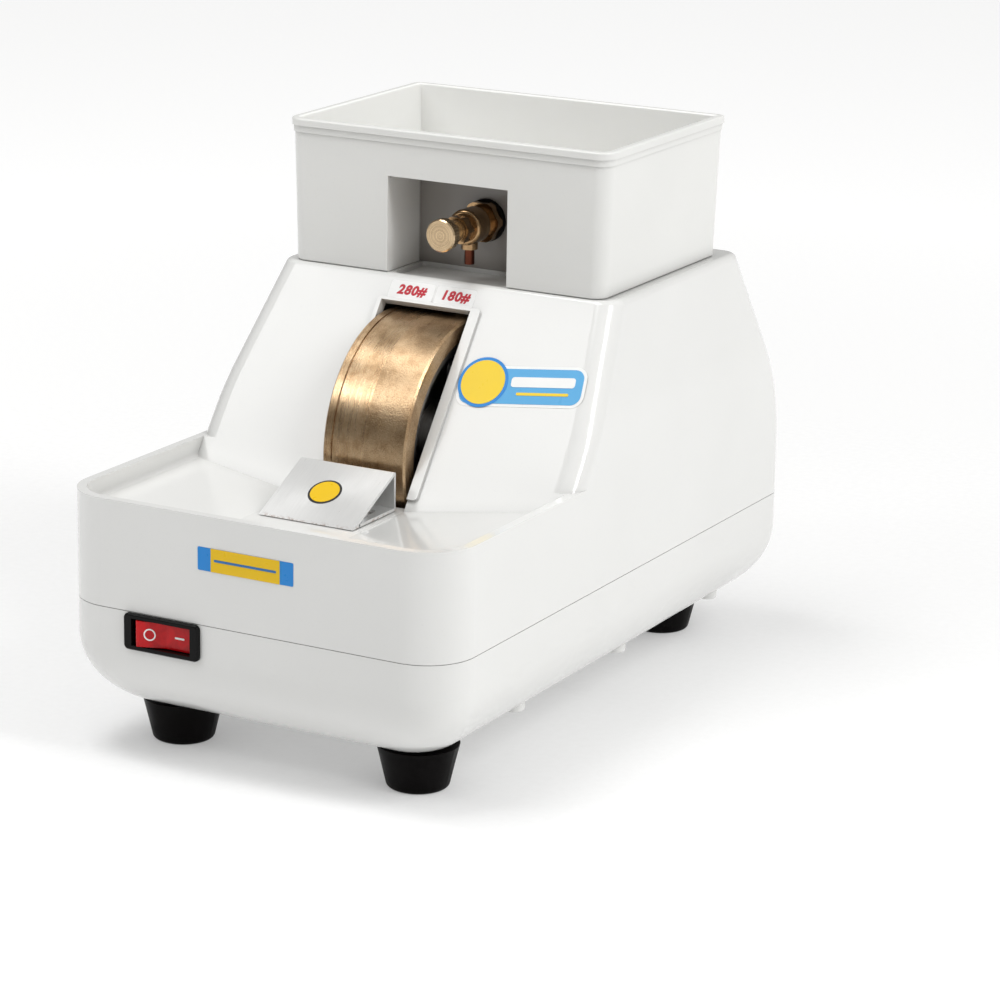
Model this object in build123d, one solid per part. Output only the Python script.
from build123d import *
import math
import os

# Wet bench grinder with one wide two-grit diamond wheel, a drip-water tank and a splash basin.
# Millimetres. X is across the machine, +Y runs to the back, +Z is up, and the feet stand on Z = 0.

# ---- driving dimensions ----
BODY_W = 170.0          # housing width
BODY_D = 285.0          # housing depth
TOTAL_H = 225.0         # feet to tank rim
WALL = 3.0              # moulded wall thickness
FOOT_H = 17.0           # visible height of a rubber foot
BOTTOM_R = 30.0         # big radius round the bottom of the base
PART_Z = 60.5           # height of the joint line between base and upper housing
PART_GAP = 0.12         # half of the shadow gap on that line
FRONT_R = 20.0          # plan corner radius, front
REAR_R = 8.0           # plan corner radius, rear
RIM_Z = 103.0           # top of the basin rim
RIM_W = 3.7             # width of the basin rim
TOP_Z = 167.2           # flat top of the housing, under the tank
SLOPE_RUN = 0.7455      # slope panel: run in Y for each mm of rise
SLOPE_TOP_Y = 1.0       # where the slope panel reaches the flat top
SIDE_LEAN = 0.1855      # how much each side leans in per mm of rise
SIDE_LEAN_Z = 117.5     # height where the sides start to lean in
REAR_LEAN = 0.41        # how much the back leans in per mm of rise
REAR_TOP_Y = 114.5      # back edge of the flat top
SLOT_X = (-23.4, 16.9)  # wheel slot in the slope panel
SLOT_TOP_Z = 157.7
FLOOR_Z = 89.1          # flat middle of the basin floor
FLOOR_FLAT_X = (-31.0, 17.0)
FLOOR_SIDE_Z = (95.8, 97.3)   # basin floor height at its left and right edges

WHEEL_Y, WHEEL_Z, WHEEL_R = -3.0, 104.0, 50.0
WHEEL_X = (-22.5, 14.5)
GRIT_SPLIT_X = -4.0     # where the fine band meets the coarse band
SHAFT_R = 6.0
RUN_GAP = 0.04          # radial running clearance of a shaft in its bush
FREE_GAP = 0.3          # clearance between moving neighbours

MOTOR_Y, MOTOR_Z, MOTOR_R = 96.5, 80.0, 38.0
MOTOR_X = (-32.0, 46.0)
CHASSIS_Z = (30.0, 33.0)
BELT_X = (-60.0, -52.0)
BELT_T = 5.0
SPINDLE_GROOVE_R = 22.0
MOTOR_GROOVE_R = 14.0

TANK_X = 70.0           # half width of the tank at its seat
TANK_Y = (1.6, 102.0)   # front and back of the tank at its seat
TANK_Z = 167.35
TANK_R = (5.5, 3.2)     # vertical corner radii, front and rear
TANK_WALL = 2.4
ALCOVE_X = (-26.0, 28.0)
ALCOVE_Y = 27.5
ALCOVE_Z = 206.0
VALVE_X, VALVE_Z = 4.6, 187.3
DRIP_Y = 13.7
FUNNEL_Y = 5.8

FOOT_XY = [(-52.5, -106.0), (52.5, -106.0), (-43.0, 116.0), (43.0, 116.0)]
POST_X, POST_Y = 70.0, (-64.0, 20.0, 104.0)
STAND_XY = [(-56.0, -40.0), (54.0, -40.0), (-56.0, 122.0), (54.0, 122.0)]
SWITCH_X, SWITCH_Z, SWITCH_TILT = -37.2, 53.15, 9.0
SWITCH_PIVOT_Y = -137.0
CORD_X, CORD_Z = 48.0, 49.0
REST_X = (-28.0, 14.0)
REST_Y = (-90.5, -58.5)
REST_Z = (89.4, 105.3)
REST_SCREW_X, REST_SCREW_Y = (-22.0, 8.0), -76.0
REST_TRAVEL = 8.0

HALF_W, HALF_D = BODY_W / 2, BODY_D / 2
SLOPE_LEN = math.hypot(1.0, SLOPE_RUN)
REAR_LEN = math.hypot(1.0, REAR_LEAN)


# ---- helpers ----
def block(x0, x1, y0, y1, z0, z1):
    return Pos((x0 + x1) / 2, (y0 + y1) / 2, (z0 + z1) / 2) * Box(x1 - x0, y1 - y0, z1 - z0)


def rod_x(r, x0, x1, y, z):
    return Pos((x0 + x1) / 2, y, z) * Rot(0, 90, 0) * Cylinder(r, x1 - x0)


def rod_y(r, y0, y1, x, z):
    return Pos(x, (y0 + y1) / 2, z) * Rot(90, 0, 0) * Cylinder(r, y1 - y0)


def rod_z(r, z0, z1, x, y):
    return Pos(x, y, (z0 + z1) / 2) * Cylinder(r, z1 - z0)


def ring_x(r_out, r_in, x0, x1, y, z):
    return rod_x(r_out, x0, x1, y, z) - rod_x(r_in, x0 - 1, x1 + 1, y, z)


def ring_y(r_out, r_in, y0, y1, x, z):
    return rod_y(r_out, y0, y1, x, z) - rod_y(r_in, y0 - 1, y1 + 1, x, z)


def hexagon_x(flats, x0, x1, y, z):
    sketch = RegularPolygon(flats / 2, 6, major_radius=False)
    return Pos(x0, y, z) * Rot(0, 90, 0) * extrude(sketch, x1 - x0)


def hexagon_y(flats, y0, y1, x, z):
    sketch = RegularPolygon(flats / 2, 6, major_radius=False)
    return Pos(x, y1, z) * Rot(90, 0, 0) * extrude(sketch, y1 - y0)


def side_profile(points, x0, x1):
    """A (y, z) outline pushed along X."""
    return Pos(x0, 0, 0) * extrude(Plane.YZ * Polygon(*points, align=None), x1 - x0, dir=(1, 0, 0))


def front_profile(points, y0, y1):
    """An (x, z) outline pushed along Y."""
    return Pos(0, y1, 0) * extrude(Plane.XZ * Polygon(*points, align=None), y1 - y0, dir=(0, -1, 0))


def plan_face(x0, x1, y0, y1, r_front, r_rear):
    face = Pos((x0 + x1) / 2, (y0 + y1) / 2, 0) * Rectangle(x1 - x0, y1 - y0)
    face = fillet(face.vertices().sort_by(Axis.Y)[:2], r_front)
    return fillet(face.vertices().sort_by(Axis.Y)[-2:], r_rear)


def screw_z(x, y, z_head, head_up, length, r_shank=2.0, r_head=3.6, head_h=2.4):
    """A pan-head screw; its head's bearing face is at z_head."""
    way = -1 if head_up else 1
    low, high = sorted((z_head, z_head + way * length))
    head_low, head_high = sorted((z_head, z_head - way * head_h))
    head = rod_z(r_head, head_low, head_high, x, y)
    outer_face = head.faces().sort_by(Axis.Z)[-1 if head_up else 0]
    head = fillet(outer_face.edges(), head_h * 0.45)
    recess = Box(r_head * 1.15, 0.9, 1.4) + Box(0.9, r_head * 1.15, 1.4)
    tip = head_high if head_up else head_low
    return head + rod_z(r_shank, low, high, x, y) - Pos(x, y, tip) * recess


def slope_y(z, inset=0.0):
    return SLOPE_TOP_Y - (TOP_Z - z) * SLOPE_RUN + inset * SLOPE_LEN


def rear_y(z, inset=0.0):
    return REAR_TOP_Y + (TOP_Z - z) * REAR_LEAN - inset * REAR_LEN


def side_x(z, inset=0.0):
    return HALF_W - max(0.0, z - SIDE_LEAN_Z) * SIDE_LEAN - inset


# ---- base shell ----
def base_solid(inset):
    """Outer (inset 0) or inner form of the base, with its big bottom radius."""
    radius = BOTTOM_R - inset
    centre_z = FOOT_H + BOTTOM_R
    top_z = PART_Z - PART_GAP + (5 if inset else 0)
    sections = []
    steps = 6
    for i in range(steps + 1):
        angle = math.radians(90 - 90 * i / steps)
        inward = inset + radius * (1 - math.cos(angle))
        z = centre_z - radius * math.sin(angle)
        face = plan_face(-HALF_W + inward, HALF_W - inward, -HALF_D + inward, HALF_D - inward,
                         FRONT_R - 0.4 * inward, REAR_R - 0.2 * inward)
        sections.append(Pos(0, 0, z) * face)
    bowl = loft(sections)
    top = extrude(sections[-1], top_z - centre_z)
    return bowl + top


def base_shell():
    body = base_solid(0)
    inner = base_solid(WALL)
    foot_pads = [rod_z(16.2, FOOT_H, FOOT_H + 9, x, y) for x, y in FOOT_XY]
    posts = []
    for sx in (-1, 1):
        for y in POST_Y:
            post = rod_z(4.4, FOOT_H + 3.6, PART_Z, sx * POST_X, y)
            posts.append(fillet(post.edges().filter_by(GeomType.CIRCLE).sort_by(Axis.Z)[0], 0.8))
    stands = [rod_z(6, FOOT_H + 1, CHASSIS_Z[0], x, y) for x, y in STAND_XY]
    shell = body - inner
    for pad in foot_pads:
        shell += pad
    for post in posts + stands:
        shell += post
    # upstanding lip that locates the upper housing
    lip_gap = 0.35
    lip_out = plan_face(-HALF_W + WALL + lip_gap, HALF_W - WALL - lip_gap,
                        -HALF_D + WALL + lip_gap, HALF_D - WALL - lip_gap,
                        FRONT_R - WALL, REAR_R - WALL)
    lip_in = plan_face(-HALF_W + WALL + 2, HALF_W - WALL - 2, -HALF_D + WALL + 2, HALF_D - WALL - 2,
                       FRONT_R - WALL - 1.6, REAR_R - WALL - 1.6)
    lip = Pos(0, 0, PART_Z + 2.5) * extrude(lip_out - lip_in, -2.8)
    joint_ledge = plan_face(-HALF_W + 1, HALF_W - 1, -HALF_D + 1, HALF_D - 1, FRONT_R - 1, REAR_R - 1)
    ledge = Pos(0, 0, PART_Z + PART_GAP - 0.2) * extrude(joint_ledge - lip_in, -3.3)
    shell = shell + ledge + lip
    # screw passages
    for sx in (-1, 1):
        for y in POST_Y:
            shell -= rod_z(3.4, 0, 48, sx * POST_X, y)
            shell -= rod_z(2.2, 0, PART_Z + 1, sx * POST_X, y)
    for x, y in FOOT_XY:
        shell -= rod_z(1.9, FOOT_H - 1, FOOT_H + 12, x, y)
    for x, y in STAND_XY:
        shell -= rod_z(1.9, FOOT_H + 4, CHASSIS_Z[0] + 1, x, y)
    # switch opening, cord bushing hole, drain passage, air slots under the motor
    shell -= block(SWITCH_X - 14.3, SWITCH_X + 14.3, -HALF_D - 5, -HALF_D + 9,
                   SWITCH_Z - 6.75, SWITCH_Z + 6.75)
    shell -= rod_y(6.05, HALF_D - 10, HALF_D + 5, CORD_X, CORD_Z)
    shell -= rod_z(9.0, 10, 30, -4, WHEEL_Y)
    for i in range(8):
        shell -= block(-38 + i * 10, -34 + i * 10, 70, 100, 10, FOOT_H + WALL + 1)
    return shell


# ---- upper housing ----
def upper_solid(inset):
    """Outer (inset 0) or inner form of the upper housing, before the basin is let in."""
    low = PART_Z + PART_GAP - (6 if inset else 0)
    top = TOP_Z - inset
    rim = RIM_Z - inset
    front = -HALF_D + inset
    rear = HALF_D - inset
    rear_break = TOP_Z - (rear + inset * REAR_LEN - REAR_TOP_Y) / REAR_LEAN
    outline = Polygon((front, low), (front, rim), (slope_y(rim, inset), rim), (slope_y(top, inset), top),
                      (rear_y(top, inset), top), (rear, rear_break), (rear, low), align=None)
    corner = [v for v in outline.vertices() if abs(v.Y - rear_break) < 0.01 and v.X > 0]
    outline = fillet(corner, 80 - inset)
    solid = Pos(-HALF_W - 5, 0, 0) * extrude(Plane.YZ * outline, BODY_W + 10, dir=(1, 0, 0))
    wide, narrow = side_x(0, inset), side_x(top, inset)
    ends = Polygon((-wide, low), (wide, low), (wide, SIDE_LEAN_Z), (narrow, top), (-narrow, top),
                   (-wide, SIDE_LEAN_Z), align=None)
    corners = [v for v in ends.vertices() if abs(v.Y - SIDE_LEAN_Z) < 0.01]
    ends = fillet(corners, 100 - inset)
    solid &= Pos(0, HALF_D + 5, 0) * extrude(Plane.XZ * ends, BODY_D + 10, dir=(0, -1, 0))

    def near(edge, test):
        return all(test(edge @ t) for t in (0.1, 0.5, 0.9))

    def on_front(p):
        return abs(p.Y - front) < 0.1 and abs(p.X) > 70 and low + 0.1 < p.Z < rim - 0.1

    def on_slope(p):
        return abs(p.Y - slope_y(p.Z, inset)) < 0.2 and abs(p.X) > 60 and rim + 0.05 < p.Z < top - 0.05

    def on_rear(p):
        inside = low + 0.05 < p.Z < top - 0.05
        return abs(p.X) > side_x(p.Z, inset) - 1.5 and p.Y > REAR_TOP_Y - 6 and inside

    front_edges = [e for e in solid.edges() if near(e, on_front)]
    solid = fillet(front_edges, FRONT_R - inset)
    slope_edges = [e for e in solid.edges() if near(e, on_slope)]
    solid = fillet(slope_edges, 9.0 - inset * 0.6)
    rear_edges = [e for e in solid.edges() if near(e, on_rear)]
    solid = fillet(rear_edges, REAR_R - inset)
    return solid


def basin_pocket(grow):
    """The space of the splash basin; grow widens it by a wall thickness."""
    x = HALF_W - RIM_W + grow
    plan = plan_face(-x, x, -HALF_D + RIM_W - grow, 20, FRONT_R - RIM_W + grow, 2)
    pocket = Pos(0, 0, 70) * extrude(plan, 50)
    floor = [(-x, 125), (-x, FLOOR_SIDE_Z[0] - grow), (FLOOR_FLAT_X[0], FLOOR_Z - grow),
             (FLOOR_FLAT_X[1], FLOOR_Z - grow), (x, FLOOR_SIDE_Z[1] - grow), (x, 125)]
    pocket &= front_profile(floor, -HALF_D - 5, 40)
    behind = [(slope_y(60, grow), 60), (slope_y(130, grow), 130), (90, 130), (90, 60)]
    return pocket - side_profile(behind, -100, 100)


def slope_plane(z):
    return Plane(origin=(0, slope_y(z), z), x_dir=(1, 0, 0),
                 z_dir=(0, -1 / SLOPE_LEN, SLOPE_RUN / SLOPE_LEN))


def upper_housing():
    outer = upper_solid(0)
    top_edges = [e for e in outer.edges() if all(abs((e @ t).Z - TOP_Z) < 0.05 for t in (0.1, 0.5, 0.9))]
    outer = fillet(top_edges, 3.0)
    pocket = basin_pocket(0)
    floor_edges = [e for e in pocket.edges() if (e @ 0.5).Z < 100 and (e @ 0.5).Y < -100]
    pocket = fillet(floor_edges, 2.0)
    cavity = upper_solid(WALL) - basin_pocket(WALL)
    body = outer - pocket - cavity

    # sink under the valve with the drip funnel that wets the wheel
    body += block(-27, 29, 2, 31, TOP_Z - 5.4, TOP_Z - WALL + 0.5)
    sink = plan_face(-24, 26, 2.6, 27.5, 3, 2)
    body -= Pos(0, 0, TOP_Z - 1.8) * extrude(sink, 5)
    body += rod_z(4.5, 157.6, TOP_Z - WALL, VALVE_X, FUNNEL_Y)
    body -= rod_z(2.5, 150, TOP_Z + 1, VALVE_X, FUNNEL_Y)

    # wheel slot with its raised frame
    out_y, out_z = -1 / SLOPE_LEN, SLOPE_RUN / SLOPE_LEN
    top_y = slope_y(SLOT_TOP_Z)
    slot = side_profile([(top_y + 9 * out_y, SLOT_TOP_Z + 9 * out_z),
                         (top_y - 9 * out_y, SLOT_TOP_Z - 9 * out_z),
                         (slope_y(FLOOR_Z) + 9, FLOOR_Z), (slope_y(FLOOR_Z) - 9, FLOOR_Z)], *SLOT_X)
    frame_low_z = 93.0
    frame_len = (SLOT_TOP_Z - frame_low_z) * SLOPE_LEN + 1.3
    frame_w = SLOT_X[1] - SLOT_X[0] + 1.8 + 4.2
    frame = slope_plane(frame_low_z) * (Pos(SLOT_X[0] - 1.8 + frame_w / 2, frame_len / 2, 0.1)
                                        * Box(frame_w, frame_len, 2.2))
    frame = fillet(frame.edges().filter_by(lambda e: e.length < 2.5), 1.5)
    body = body + frame - slot

    # posts for the case screws, tied to the side walls
    for sx in (-1, 1):
        for y in POST_Y:
            body += rod_z(4.8, PART_Z, 84, sx * POST_X, y)
            near_x, far_x = sorted((sx * POST_X, sx * (HALF_W - 1)))
            body += block(near_x, far_x, y - 1.2, y + 1.2, PART_Z + 4, 84)
            body -= rod_z(1.6, PART_Z - 1, 78, sx * POST_X, y)

    # threaded holes for the work-rest screws and sockets for the tank pegs
    for x in REST_SCREW_X:
        body += rod_z(4.5, FLOOR_Z - 9, FLOOR_Z - 1, x, REST_SCREW_Y)
        body -= rod_z(1.6, FLOOR_Z - 8, FLOOR_Z + 1, x, REST_SCREW_Y)
    for x in (-55, 55):
        body -= rod_z(3.9, TOP_Z - 10, TOP_Z + 1, x, 60)
    return body


# ---- feet and screws ----
def rubber_feet():
    feet = []
    for x, y in FOOT_XY:
        outline = Polygon((0, 0), (11.8, 0), (15.8, FOOT_H), (0, FOOT_H), align=None)
        rim = [v for v in outline.vertices() if abs(v.X - 11.8) < 0.01]
        foot = Pos(x, y, 0) * revolve(Plane.XZ * fillet(rim, 2.0), Axis.Z)
        foot -= rod_z(5.2, -1, 8, x, y)
        feet.append(foot - rod_z(2.1, 0, FOOT_H + 1, x, y))
    return Compound(feet)


def foot_screws():
    return Compound([screw_z(x, y, 8.0, False, 17, 1.9, 4.4, 2.6) for x, y in FOOT_XY])


def case_screws():
    return Compound([screw_z(sx * POST_X, y, 48.0, False, 26, 1.6, 3.0, 2.2)
                     for sx in (-1, 1) for y in POST_Y])


# ---- rocker switch ----
def switch_body():
    face = Pos(SWITCH_X, SWITCH_Z, 0) * RectangleRounded(33.4, 14.3, 2.0)
    bezel = Pos(0, -HALF_D, 0) * extrude(Plane.XZ * face, 1.8)
    bezel = fillet(bezel.faces().sort_by(Axis.Y)[0].outer_wire().edges(), 0.8)
    box = block(SWITCH_X - 14.1, SWITCH_X + 14.1, -HALF_D, -118, SWITCH_Z - 6.55, SWITCH_Z + 6.55)
    body = bezel + box
    body -= block(SWITCH_X - 13.1, SWITCH_X + 13.1, -HALF_D - 3, SWITCH_PIVOT_Y + 6.2,
                  SWITCH_Z - 5.35, SWITCH_Z + 5.35)
    return body - rod_z(1.25, SWITCH_Z - 6.3, SWITCH_Z + 6.3, SWITCH_X, SWITCH_PIVOT_Y)


def switch_rocker():
    """Stored tipped to its off side: the end nearer the left of the machine stands proud."""
    outline = Polygon((-11.8, -6.5), (0, -4.6), (11.8, -6.5), (11.8, -1), (5, 4), (-5, 4), (-11.8, -1),
                      align=None)
    key = extrude(outline, 10.0, dir=(0, 0, 1))
    tips = key.edges().filter_by(lambda e: (e @ 0.5).Y < -5.9 and e.length > 9 and abs((e @ 0.5).X) > 11)
    key = fillet(tips, 0.8)
    key = Pos(0, 0, -5.0) * key + Cylinder(1.2, 12.2)
    return Pos(SWITCH_X, SWITCH_PIVOT_Y, SWITCH_Z) * Rot(0, 0, SWITCH_TILT) * key


def switch_terminals():
    blades = []
    for x in (-9, 0, 9):
        blade = block(SWITCH_X + x - 3.1, SWITCH_X + x + 3.1, -118, -109, SWITCH_Z - 0.4, SWITCH_Z + 0.4)
        blades.append(blade - rod_z(0.9, SWITCH_Z - 2, SWITCH_Z + 2, SWITCH_X + x, -111.5))
    return Compound(blades)


# ---- work rest ----
def work_rest():
    """Folded sheet: floor, upright by the wheel and sloping hand plate, open at both ends."""
    sheet = 1.2
    y0, y1 = REST_Y
    z0, z1 = REST_Z
    slope = math.hypot(y1 - y0, z1 - z0)
    outer = side_profile([(y0, z0), (y1, z0), (y1, z1)], *REST_X)
    toe = sheet * (slope + (y1 - y0)) / (z1 - z0)
    head = sheet * (slope + (z1 - z0)) / (y1 - y0)
    inner = side_profile([(y0 + toe, z0 + sheet), (y1 - sheet, z0 + sheet), (y1 - sheet, z1 - head)],
                         REST_X[0] - 1, REST_X[1] + 1)
    rest = outer - inner
    rest = fillet(rest.edges().filter_by(lambda e: abs((e @ 0.5).Z - z1) < 0.01 and e.length > 20), 0.8)
    rest -= block(REST_X[0] - 1, REST_X[1] + 1, y0 + toe - 0.2, y0 + toe + 0.5, z0 - 1, z0 + sheet + 0.1)
    for x in REST_SCREW_X:
        slot = Pos(x, REST_SCREW_Y + REST_TRAVEL / 2, z0 - 1) * extrude(
            Rot(0, 0, 90) * SlotCenterToCenter(REST_TRAVEL + 0.6, 4.4), sheet + 2)
        rest -= slot
    return rest


def rest_screws():
    return Compound([screw_z(x, REST_SCREW_Y, REST_Z[0] + 1.5, True, 9.4, 1.6, 3.4, 2.0)
                     for x in REST_SCREW_X])


# ---- wheel and spindle ----
def grit_band(x0, x1, groove_x=None):
    band = ring_x(WHEEL_R, 43.0, x0, x1, WHEEL_Y, WHEEL_Z)
    outer_x = x0 if groove_x is not None else x1
    rim = [e for e in band.edges().filter_by(GeomType.CIRCLE)
           if abs(e.arc_center.X - outer_x) < 0.01 and abs(e.radius - WHEEL_R) < 0.01]
    band = chamfer(rim, 0.8)
    if groove_x is not None:
        band -= ring_x(WHEEL_R + 1, WHEEL_R - 0.5, groove_x - 0.4, groove_x + 0.4, WHEEL_Y, WHEEL_Z)
    return band


def wheel_hub():
    """Turned wheel body: outer ring, web with lightening holes, centre boss."""
    hub = ring_x(43.0, 39.0, WHEEL_X[0] + 1.5, WHEEL_X[1] - 1.5, WHEEL_Y, WHEEL_Z)
    hub += rod_x(40.0, -8, 0, WHEEL_Y, WHEEL_Z)
    hub += rod_x(16.0, -16, 8, WHEEL_Y, WHEEL_Z)
    hub -= rod_x(SHAFT_R, -40, 40, WHEEL_Y, WHEEL_Z)
    for i in range(6):
        a = math.radians(60 * i)
        hub -= rod_x(6.5, -12, 4, WHEEL_Y + 28 * math.cos(a), WHEEL_Z + 28 * math.sin(a))
    return hub


def spindle_shaft():
    shaft = rod_x(SHAFT_R, -66, 40, WHEEL_Y, WHEEL_Z)
    shaft += rod_x(9.0, -20, -16, WHEEL_Y, WHEEL_Z)
    ends = shaft.edges().filter_by(GeomType.CIRCLE).sort_by(Axis.X)
    return chamfer([ends[0], ends[-1]], 0.8)


def wheel_washer():
    return ring_x(14, SHAFT_R, 8, 11, WHEEL_Y, WHEEL_Z)


def wheel_nut():
    nut = hexagon_x(18, 11, 18, WHEEL_Y, WHEEL_Z) - rod_x(SHAFT_R, 5, 25, WHEEL_Y, WHEEL_Z)
    return nut & rod_x(10.0, 11, 18, WHEEL_Y, WHEEL_Z)


def water_slingers():
    return Compound([ring_x(11, SHAFT_R, x, x + 1.2, WHEEL_Y, WHEEL_Z) for x in (-32.8, 23.6)])


BEARING_X = ((-45.0, -35.0), (27.0, 37.0))


def bearing_outer_rings():
    rings = []
    for x0, x1 in BEARING_X:
        ring = ring_x(16.0, 9.3, x0, x1, WHEEL_Y, WHEEL_Z)
        ring -= ring_x(13.0, 8.0, x0 + 1, x1 - 1, WHEEL_Y, WHEEL_Z)
        rings.append(ring)
    return Compound(rings)


def bearing_inner_rings():
    return Compound([ring_x(9.0, SHAFT_R, x0, x1, WHEEL_Y, WHEEL_Z) for x0, x1 in BEARING_X])


def bearing_block(bearing_x, foot_way):
    """Upright that carries one spindle bearing; its foot points away from the wheel."""
    x0, x1 = bearing_x[0] - 1, bearing_x[1] + 1
    low = CHASSIS_Z[1]
    upright = side_profile([(-31, low), (25, low), (25, low + 8), (14, 92), (-20, 92), (-31, low + 8)],
                           x0, x1)
    body = upright + rod_x(21, x0, x1, WHEEL_Y, WHEEL_Z)
    body -= side_profile([(-20, low + 12), (14, low + 12), (7, 76), (-13, 76)], x0 - 1, x1 + 1)
    foot0, foot1 = (x0 - 12, x0) if foot_way < 0 else (x1, x1 + 12)
    body += block(foot0, foot1, -31, 25, low, low + 6)
    body -= rod_x(16.0, bearing_x[0], bearing_x[1] + 5, WHEEL_Y, WHEEL_Z)
    body -= rod_x(13.0, x0 - 5, x1 + 5, WHEEL_Y, WHEEL_Z)
    for y in (-24, 18):
        body -= rod_z(2.2, low - 1, low + 8, (foot0 + foot1) / 2, y)
    return body


BLOCK_SCREW_X = (-52.0, 44.0)


def block_screws():
    return Compound([screw_z(x, y, CHASSIS_Z[1] + 6, True, 12, 2.0, 3.6, 2.4)
                     for x in BLOCK_SCREW_X for y in (-24, 18)])


# ---- water trough and drain ----
TROUGH_X = (-30.5, 22.5)
TROUGH_Y = (-61.0, 53.0)
TROUGH_Z = (44.5, 160.5)


def trough_outline(inset):
    y0, y1 = TROUGH_Y[0] + inset, TROUGH_Y[1] - inset
    z0, z1 = TROUGH_Z[0] + inset, TROUGH_Z[1] - inset
    under_floor = FLOOR_Z - WALL - 0.6
    gap = WALL + 0.7
    return [(y0, z0), (y1, z0), (y1, z1), (slope_y(z1, gap), z1),
            (slope_y(under_floor, gap), under_floor), (y0, under_floor)]


def water_trough():
    t = 2.5
    solid = side_profile(trough_outline(0), *TROUGH_X)
    low_edges = [e for e in solid.edges() if e.length > 40 and abs((e @ 0.5).Z - TROUGH_Z[0]) < 0.1
                 and abs((e @ 0.1).X - (e @ 0.9).X) > 10]
    solid = fillet(low_edges, 12)
    y0, y1 = TROUGH_Y[0] + t, TROUGH_Y[1] - t
    z0, z1 = TROUGH_Z[0] + t, TROUGH_Z[1] - t
    hollow = side_profile([(y0, z0), (y1, z0), (y1, z1), (slope_y(z1, -10), z1), (slope_y(90, -14), 90),
                           (y0, 90)], TROUGH_X[0] + t, TROUGH_X[1] - t)
    low_edges = [e for e in hollow.edges()
                 if abs((e @ 0.5).Z - z0) < 0.1 and abs((e @ 0.1).X - (e @ 0.9).X) > 10]
    hollow = fillet(low_edges, 10)
    trough = solid - hollow
    for x, y in ((-24, -42), (16, -42), (-24, 36), (16, 36)):
        trough += rod_z(4.5, CHASSIS_Z[1], TROUGH_Z[0] + 3.2, x, y)
        trough -= rod_z(1.6, CHASSIS_Z[1] - 1, TROUGH_Z[0], x, y)
    trough += rod_z(6.0, 14.0, TROUGH_Z[0] + 1, -4, WHEEL_Y)
    trough -= rod_z(4.0, 10, TROUGH_Z[0] + t + 1, -4, WHEEL_Y)
    trough -= rod_x(10.0, TROUGH_X[0] - 2, TROUGH_X[1] + 2, WHEEL_Y, WHEEL_Z)
    trough -= rod_z(5.4, 150, 170, VALVE_X, FUNNEL_Y)
    return trough


def trough_screws():
    return Compound([screw_z(x, y, CHASSIS_Z[0], False, 12, 1.6, 3.2, 2.0)
                     for x, y in ((-24, -42), (16, -42), (-24, 36), (16, 36))])


def shaft_seals():
    seals = []
    for x, way in ((TROUGH_X[0], -1), (TROUGH_X[1], 1)):
        a, b = sorted((x, x - way * 2.5))
        plug = rod_x(10.0, a, b, WHEEL_Y, WHEEL_Z)
        c, d = sorted((x - way * 2.5, x - way * 3.7))
        plug += rod_x(12.0, c, d, WHEEL_Y, WHEEL_Z)
        seals.append(plug - rod_x(SHAFT_R + RUN_GAP, -60, 60, WHEEL_Y, WHEEL_Z))
    return Compound(seals)


def drain_elbow():
    """Push-on elbow under the base that turns the drain towards the back."""
    x, y, z = -4.0, WHEEL_Y, 8.2
    body = rod_z(8.4, 3.2, 26, x, y) + rod_y(6.0, y, y + 9, x, z) + rod_y(4.5, y, y + 27, x, z)
    body -= rod_z(6.0, 14, 30, x, y)
    body -= rod_z(2.9, 6, 15, x, y)
    return body - rod_y(2.9, y, y + 30, x, z)


# ---- chassis ----
def chassis_plate():
    z0, z1 = CHASSIS_Z
    plate = Pos(0, 0, z0) * extrude(plan_face(-64, 62, -48, 131, 4, 4), z1 - z0)
    holes = [(x, y, 2.2) for x, y in STAND_XY]
    holes += [(x, y, 2.0) for x in BLOCK_SCREW_X for y in (-24, 18)]
    holes += [(x, y, 1.8) for x, y in ((-24, -42), (16, -42), (-24, 36), (16, 36))]
    holes += [(x, y, 1.6) for x, y in CRADLE_SCREW_XY]
    holes += [(-4, WHEEL_Y, 9.5)]
    for x, y, r in holes:
        plate -= rod_z(r, z0 - 1, z1 + 1, x, y)
    return plate


def chassis_screws():
    return Compound([screw_z(x, y, CHASSIS_Z[1], True, 10, 1.9, 3.8, 2.4) for x, y in STAND_XY])


# ---- motor ----
CRADLE_X = (-20.0, 34.0)
STRAP_X = (-17.5, 31.5)
STRAP_SCREW_Z = 50.0
STRAP_T = 1.2
CRADLE_SCREW_XY = [(-9.0, 66.0), (23.0, 66.0), (-9.0, 125.0), (23.0, 125.0)]
CRADLE_Y = (MOTOR_Y - MOTOR_R, MOTOR_Y + MOTOR_R)
BELL_T = 6.0
BELL_SCREWS = [math.radians(45 + 90 * i) for i in range(4)]


def motor_shell():
    shell = ring_x(MOTOR_R, MOTOR_R - 4, *MOTOR_X, MOTOR_Y, MOTOR_Z)
    for a in BELL_SCREWS:
        y, z = MOTOR_Y + 36 * math.cos(a), MOTOR_Z + 36 * math.sin(a)
        shell -= rod_x(1.2, MOTOR_X[0] - 1, MOTOR_X[0] + 8, y, z)
        shell -= rod_x(1.2, MOTOR_X[1] - 8, MOTOR_X[1] + 1, y, z)
    return shell


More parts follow.
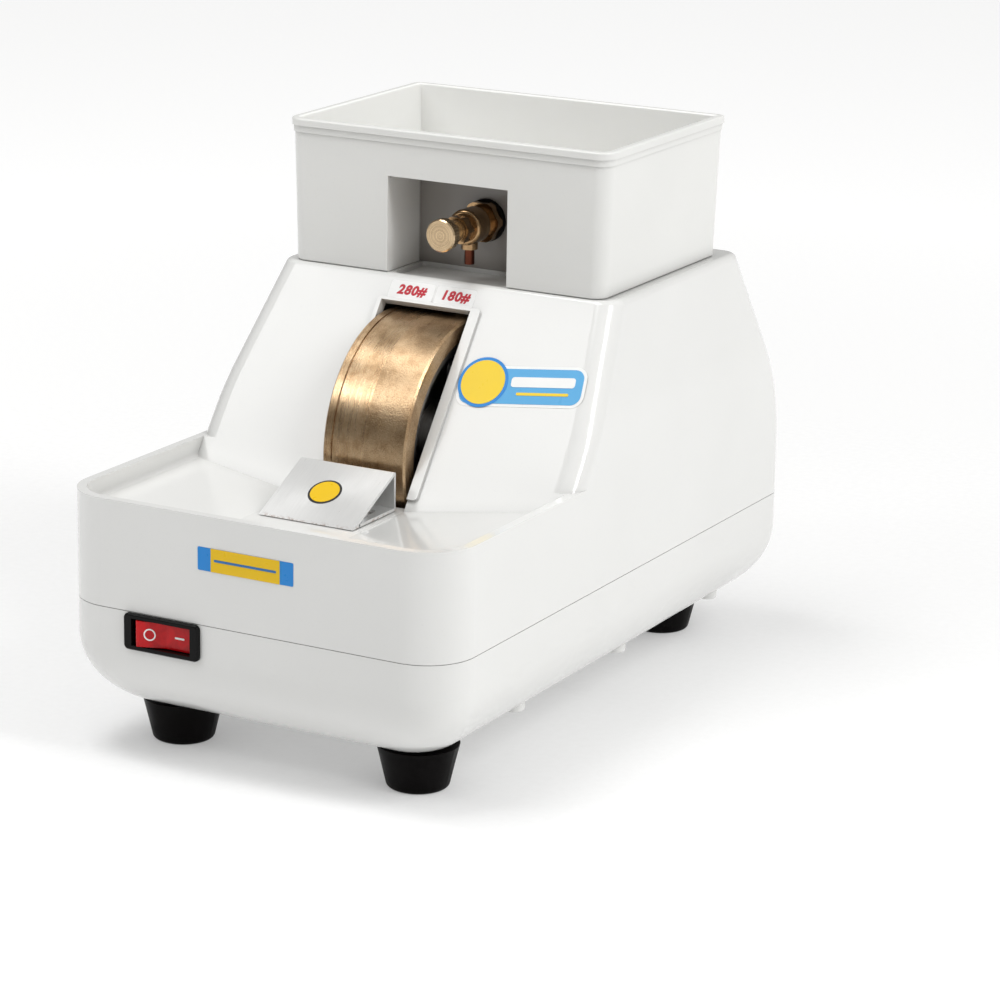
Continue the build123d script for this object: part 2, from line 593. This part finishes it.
def end_bell(x_inner, way):
    x_outer = x_inner + way * BELL_T
    low, high = sorted((x_inner, x_outer))
    bell = rod_x(MOTOR_R, low, high, MOTOR_Y, MOTOR_Z)
    low, high = sorted((x_inner - way * 3, x_outer + way * 5))
    bell += rod_x(13, low, high, MOTOR_Y, MOTOR_Z)
    bell -= rod_x(9, low - 1, high + 1, MOTOR_Y, MOTOR_Z)
    for i in range(8):
        a = math.radians(45 * i + 22.5)
        bell -= rod_x(4.2, -60, 80, MOTOR_Y + 23 * math.cos(a), MOTOR_Z + 23 * math.sin(a))
    for a in BELL_SCREWS:
        bell -= rod_x(1.5, -60, 80, MOTOR_Y + 36 * math.cos(a), MOTOR_Z + 36 * math.sin(a))
    return bell


def bell_screws():
    screws = []
    for x, way in ((MOTOR_X[0] - BELL_T, 1), (MOTOR_X[1] + BELL_T, -1)):
        for a in BELL_SCREWS:
            y, z = MOTOR_Y + 36 * math.cos(a), MOTOR_Z + 36 * math.sin(a)
            h0, h1 = sorted((x, x - way * 1.8))
            s0, s1 = sorted((x, x + way * 12))
            screws.append(rod_x(2.0, h0, h1, y, z) + rod_x(1.2, s0, s1, y, z))
    return Compound(screws)


def motor_bushes():
    bushes = []
    for x_inner, way in ((MOTOR_X[0], -1), (MOTOR_X[1], 1)):
        a, b = sorted((x_inner - way * 3, x_inner + way * (BELL_T + 5)))
        bushes.append(ring_x(9, SHAFT_R + RUN_GAP, a, b, MOTOR_Y, MOTOR_Z))
    return Compound(bushes)


def stator_core():
    """Lamination stack with winding slots open to the bore."""
    core = ring_x(34, 22.9, -12, 26, MOTOR_Y, MOTOR_Z)
    for i in range(12):
        slot = Pos(7, 26, 0) * Box(60, 9, 3.2)
        core -= Pos(0, MOTOR_Y, MOTOR_Z) * Rot(30 * i, 0, 0) * slot
    return core


def stator_windings():
    rings = [ring_x(32, 24.5, a, b, MOTOR_Y, MOTOR_Z) for a, b in ((-21, -12), (26, 35))]
    return Compound([fillet(r.edges().filter_by(GeomType.CIRCLE), 2.0) for r in rings])


def motor_rotor():
    core = ring_x(22.4, SHAFT_R, -12, 26, MOTOR_Y, MOTOR_Z)
    core += ring_x(21, 14, -16, 30, MOTOR_Y, MOTOR_Z)
    return core


def motor_shaft():
    shaft = rod_x(SHAFT_R, -64, MOTOR_X[1] + BELL_T + 4, MOTOR_Y, MOTOR_Z)
    return chamfer(shaft.edges().filter_by(GeomType.CIRCLE), 0.8)


def motor_fan():
    fan = ring_x(10, SHAFT_R, 36.5, 42, MOTOR_Y, MOTOR_Z)
    fan += ring_x(20, SHAFT_R, 36.5, 38, MOTOR_Y, MOTOR_Z)
    for i in range(8):
        vane = Pos(39.7, 14.5, 0) * Box(4.6, 11, 1.2)
        fan += Pos(0, MOTOR_Y, MOTOR_Z) * Rot(45 * i, 0, 0) * vane
    return fan


def motor_cradle():
    """Floor plate with a saddle upright at each end."""
    low = CHASSIS_Z[1]
    cradle = block(*CRADLE_X, *CRADLE_Y, low, 60)
    cradle -= rod_x(MOTOR_R, -60, 60, MOTOR_Y, MOTOR_Z)
    cradle -= block(CRADLE_X[0] + 5, CRADLE_X[1] - 5, 50, 140, low + 3, 62)
    for x, y in CRADLE_SCREW_XY:
        cradle -= rod_z(1.6, low - 1, low + 4, x, y)
    for x in STRAP_X:
        for y in CRADLE_Y:
            cradle -= rod_y(1.3, y - 8, y + 8, x, STRAP_SCREW_Z)
    return cradle


def motor_straps():
    """Two bands over the motor whose straight ends screw to the cradle's uprights."""
    straps = []
    for x in STRAP_X:
        x0, x1 = x - 4, x + 4
        band = ring_x(MOTOR_R + STRAP_T, MOTOR_R, x0, x1, MOTOR_Y, MOTOR_Z)
        band -= block(x0 - 1, x1 + 1, 0, 160, 20, MOTOR_Z)
        for y, way in zip(CRADLE_Y, (-1, 1)):
            a, b = sorted((y, y + way * STRAP_T))
            leg = block(x0, x1, a, b, STRAP_SCREW_Z - 5, MOTOR_Z)
            band += leg - rod_y(1.4, y - 5, y + 5, x, STRAP_SCREW_Z)
        straps.append(band)
    return Compound(straps)


def strap_screws():
    screws = []
    for x in STRAP_X:
        for y, way in zip(CRADLE_Y, (-1, 1)):
            face = y + way * STRAP_T
            h0, h1 = sorted((face, face + way * 1.6))
            s0, s1 = sorted((face, face - way * 8))
            screws.append(rod_y(2.6, h0, h1, x, STRAP_SCREW_Z) + rod_y(1.3, s0, s1, x, STRAP_SCREW_Z))
    return Compound(screws)


def cradle_screws():
    return Compound([screw_z(x, y, CHASSIS_Z[1] + 3, True, 8, 1.6, 3.2, 2.0) for x, y in CRADLE_SCREW_XY])


# ---- belt drive ----
def pulley(y, z, groove_r, bore_x):
    """Flanged pulley with a flat groove and a boss towards the machine's middle."""
    x0, x1 = BELT_X[0] - 2, BELT_X[1] + 2
    body = rod_x(groove_r + 4, x0, x1, y, z) + rod_x(10.5, x1, bore_x, y, z)
    body -= ring_x(groove_r + 10, groove_r, BELT_X[0] - FREE_GAP, BELT_X[1] + FREE_GAP, y, z)
    return body - rod_x(SHAFT_R, x0 - 1, bore_x + 1, y, z)


def belt_hull(grow):
    r1, r2 = SPINDLE_GROOVE_R + grow, MOTOR_GROOVE_R + grow
    dy, dz = MOTOR_Y - WHEEL_Y, MOTOR_Z - WHEEL_Z
    span = math.hypot(dy, dz)
    heading = math.atan2(dz, dy)
    lean = math.acos((r1 - r2) / span)
    points = []
    for r, y, z, sign in ((r1, WHEEL_Y, WHEEL_Z, 1), (r2, MOTOR_Y, MOTOR_Z, 1),
                          (r2, MOTOR_Y, MOTOR_Z, -1), (r1, WHEEL_Y, WHEEL_Z, -1)):
        a = heading + sign * lean
        points.append((y + r * math.cos(a), z + r * math.sin(a)))
    hull = side_profile(points, *BELT_X)
    return hull + rod_x(r1, *BELT_X, WHEEL_Y, WHEEL_Z) + rod_x(r2, *BELT_X, MOTOR_Y, MOTOR_Z)


def drive_belt():
    return belt_hull(FREE_GAP + BELT_T) - belt_hull(FREE_GAP)


# ---- electrics ----
CAP_X, CAP_Z = 18.0, FOOT_H + WALL + 16.0
TERMINAL_X = (-34.0, -2.0)


def run_capacitor():
    can = rod_y(14, -112, -70, CAP_X, CAP_Z)
    can = fillet(can.edges().filter_by(GeomType.CIRCLE), 1.5)
    for x in (CAP_X - 5, CAP_X + 5):
        can += block(x - 2.5, x + 2.5, -118, -111, CAP_Z - 0.4, CAP_Z + 0.4)
    return can


def capacitor_clip():
    floor_z = FOOT_H + WALL
    clip = ring_y(15.2, 14.0, -97, -85, CAP_X, CAP_Z)
    clip -= block(CAP_X - 3, CAP_X + 3, -100, -80, CAP_Z + 10, CAP_Z + 20)
    clip += block(CAP_X - 14, CAP_X + 14, -97, -85, floor_z, floor_z + 1.6)
    return clip - rod_y(14.0, -100, -80, CAP_X, CAP_Z)


def terminal_block():
    low = FOOT_H + WALL
    body = block(*TERMINAL_X, -112, -92, low, low + 9)
    body += block(*TERMINAL_X, -106, -98, low + 9, low + 13)
    for i in range(4):
        for y in (-109, -95):
            body -= rod_z(2.2, low + 4, low + 12, TERMINAL_X[0] + 4 + i * 8, y)
    return body


def terminal_screws():
    low = FOOT_H + WALL
    screws = []
    for i in range(4):
        for y in (-109, -95):
            x = TERMINAL_X[0] + 4 + i * 8
            screws.append(rod_z(2.0, low + 4, low + 7.5, x, y) - Pos(x, y, low + 7.5) * Box(5, 0.8, 1.6))
    return Compound(screws)


def cord_bushing():
    """Snap-in bushing: flange outside, groove in the wall, barbed flange inside."""
    body = rod_y(6.0, HALF_D - WALL - 1, HALF_D, CORD_X, CORD_Z)
    body += rod_y(8.5, HALF_D, HALF_D + 2.8, CORD_X, CORD_Z)
    body += rod_y(7.0, HALF_D - WALL - 3, HALF_D - WALL - 0.6, CORD_X, CORD_Z)
    body = fillet(body.edges().filter_by(GeomType.CIRCLE).sort_by(Axis.Y)[-1], 1.2)
    return body - rod_y(3.6, HALF_D - 20, HALF_D + 10, CORD_X, CORD_Z)


# ---- water tank ----
def tank_section(z, inset):
    rise = (z - TANK_Z) / (TOTAL_H - TANK_Z)
    x = TANK_X + 1.5 * rise - inset
    y0 = TANK_Y[0] - 0.2 * rise + inset
    y1 = TANK_Y[1] + 1.4 * rise - inset
    return Pos(0, 0, z) * plan_face(-x, x, y0, y1, TANK_R[0] - inset, TANK_R[1] - inset)


def rim_band(height, out):
    """One step of the tank's stepped rim, standing out from the wall."""
    z = TOTAL_H - height
    section = tank_section(z, -out).face().moved(Pos(0, 0, -z))
    return Pos(0, 0, z) * extrude(section, height)


def tank_shell():
    outer = loft([tank_section(TANK_Z, 0), tank_section(TOTAL_H, 0)], ruled=True)
    low_edges = outer.faces().sort_by(Axis.Z)[0].outer_wire().edges()
    outer = fillet(low_edges, 0.6)
    shell = outer + rim_band(5.6, 0.55) + rim_band(2.9, 1.2)
    inner = loft([tank_section(TANK_Z + TANK_WALL, TANK_WALL), tank_section(TOTAL_H + 1, TANK_WALL)],
                 ruled=True)
    x0, x1 = ALCOVE_X
    inner -= block(x0 - TANK_WALL, x1 + TANK_WALL, -10, ALCOVE_Y + TANK_WALL, 160, ALCOVE_Z + TANK_WALL)
    shell -= inner
    shell -= block(x0, x1, -10, ALCOVE_Y, 160, ALCOVE_Z)
    rim_edges = [e for e in shell.edges() if all(abs((e @ t).Z - TOTAL_H) < 0.01 for t in (0.1, 0.5, 0.9))]
    shell = fillet(rim_edges, 0.8)
    shell -= rod_y(5.1, 20, 40, VALVE_X, VALVE_Z)
    for x in (-55, 55):
        shell += rod_z(3.5, TANK_Z - 5.5, TANK_Z + 0.5, x, 60)
    return shell


def valve_gasket():
    return ring_y(8.6, 5.0, ALCOVE_Y - 1.9, ALCOVE_Y, VALVE_X, VALVE_Z)


def valve_body():
    back = ALCOVE_Y - 1.9
    body = rod_y(5.0, back, ALCOVE_Y + 12.5, VALVE_X, VALVE_Z)
    nut = hexagon_y(15.6, back - 4.2, back, VALVE_X, VALVE_Z) & rod_y(8.4, back - 4.2, back, VALVE_X, VALVE_Z)
    body += nut
    body += rod_y(6.2, 18.6, back - 4.2, VALVE_X, VALVE_Z)
    barrel = rod_y(7.2, 8.8, 18.6, VALVE_X, VALVE_Z)
    body += fillet(barrel.edges().filter_by(GeomType.CIRCLE), 1.2)
    body += rod_z(3.3, VALVE_Z - 9.2, VALVE_Z, VALVE_X, DRIP_Y)
    body -= rod_y(2.5 + RUN_GAP, 5, 19, VALVE_X, VALVE_Z)
    body -= rod_y(2.0, 18, 60, VALVE_X, VALVE_Z)
    return body - rod_z(2.0, VALVE_Z - 12, VALVE_Z, VALVE_X, DRIP_Y)


def packing_nut():
    nut = hexagon_y(10.4, 2.6, 8.8, VALVE_X, VALVE_Z) & rod_y(5.7, 2.6, 8.8, VALVE_X, VALVE_Z)
    return nut - rod_y(2.5 + RUN_GAP, 0, 12, VALVE_X, VALVE_Z)


def valve_knob():
    """Turned knob on a plug stem; the stem's cross hole lines up with the spout when open."""
    knob = rod_y(6.5, -10, -5.4, VALVE_X, VALVE_Z)
    knob = chamfer(knob.edges().filter_by(GeomType.CIRCLE), 0.5)
    for i in range(30):
        a = math.radians(12 * i)
        knob -= rod_y(0.25, -11, -4, VALVE_X + 6.6 * math.cos(a), VALVE_Z + 6.6 * math.sin(a))
    knob += rod_y(3.4, -5.4, 1.0, VALVE_X, VALVE_Z)
    knob += rod_y(4.4, 1.0, 2.3, VALVE_X, VALVE_Z)
    knob += rod_y(2.5, 2.3, 17.6, VALVE_X, VALVE_Z)
    hole = Pos(VALVE_X, DRIP_Y, VALVE_Z) * Rot(0, 90, 0) * Cylinder(1.4, 8)
    return knob - hole


def drip_tube():
    tube = rod_z(2.0, 172.0, VALVE_Z - 5.0, VALVE_X, DRIP_Y)
    return tube - rod_z(1.4, 170, VALVE_Z, VALVE_X, DRIP_Y)


def valve_locknut():
    y0 = ALCOVE_Y + TANK_WALL
    return hexagon_y(16, y0, y0 + 4.5, VALVE_X, VALVE_Z) - rod_y(5.0, y0 - 1, y0 + 6, VALVE_X, VALVE_Z)


# ---- write every piece ----
def write_parts():
    os.makedirs("parts", exist_ok=True)
    pieces = {
        "base_shell": base_shell(),
        "upper_housing": upper_housing(),
        "rubber_feet": rubber_feet(),
        "foot_screws": foot_screws(),
        "case_screws": case_screws(),
        "switch_body": switch_body(),
        "switch_rocker": switch_rocker(),
        "switch_terminals": switch_terminals(),
        "work_rest": work_rest(),
        "rest_screws": rest_screws(),
        "fine_grit_band": grit_band(WHEEL_X[0], GRIT_SPLIT_X, groove_x=-18.3),
        "coarse_grit_band": grit_band(GRIT_SPLIT_X, WHEEL_X[1]),
        "wheel_hub": wheel_hub(),
        "spindle_shaft": spindle_shaft(),
        "wheel_washer": wheel_washer(),
        "wheel_nut": wheel_nut(),
        "water_slingers": water_slingers(),
        "bearing_outer_rings": bearing_outer_rings(),
        "bearing_inner_rings": bearing_inner_rings(),
        "left_bearing_block": bearing_block(BEARING_X[0], -1),
        "right_bearing_block": bearing_block(BEARING_X[1], 1),
        "block_screws": block_screws(),
        "water_trough": water_trough(),
        "trough_screws": trough_screws(),
        "shaft_seals": shaft_seals(),
        "drain_elbow": drain_elbow(),
        "chassis_plate": chassis_plate(),
        "chassis_screws": chassis_screws(),
        "motor_shell": motor_shell(),
        "left_end_bell": end_bell(MOTOR_X[0], -1),
        "right_end_bell": end_bell(MOTOR_X[1], 1),
        "bell_screws": bell_screws(),
        "motor_bushes": motor_bushes(),
        "stator_core": stator_core(),
        "stator_windings": stator_windings(),
        "motor_rotor": motor_rotor(),
        "motor_shaft": motor_shaft(),
        "motor_fan": motor_fan(),
        "motor_cradle": motor_cradle(),
        "cradle_screws": cradle_screws(),
        "motor_straps": motor_straps(),
        "strap_screws": strap_screws(),
        "spindle_pulley": pulley(WHEEL_Y, WHEEL_Z, SPINDLE_GROOVE_R, -47.0),
        "motor_pulley": pulley(MOTOR_Y, MOTOR_Z, MOTOR_GROOVE_R, -46.0),
        "drive_belt": drive_belt(),
        "run_capacitor": run_capacitor(),
        "capacitor_clip": capacitor_clip(),
        "terminal_block": terminal_block(),
        "terminal_screws": terminal_screws(),
        "cord_bushing": cord_bushing(),
        "tank_shell": tank_shell(),
        "valve_gasket": valve_gasket(),
        "valve_body": valve_body(),
        "packing_nut": packing_nut(),
        "valve_knob": valve_knob(),
        "drip_tube": drip_tube(),
        "valve_locknut": valve_locknut(),
    }
    for name, piece in pieces.items():
        export_step(piece, f"parts/{name}.step")


write_parts()
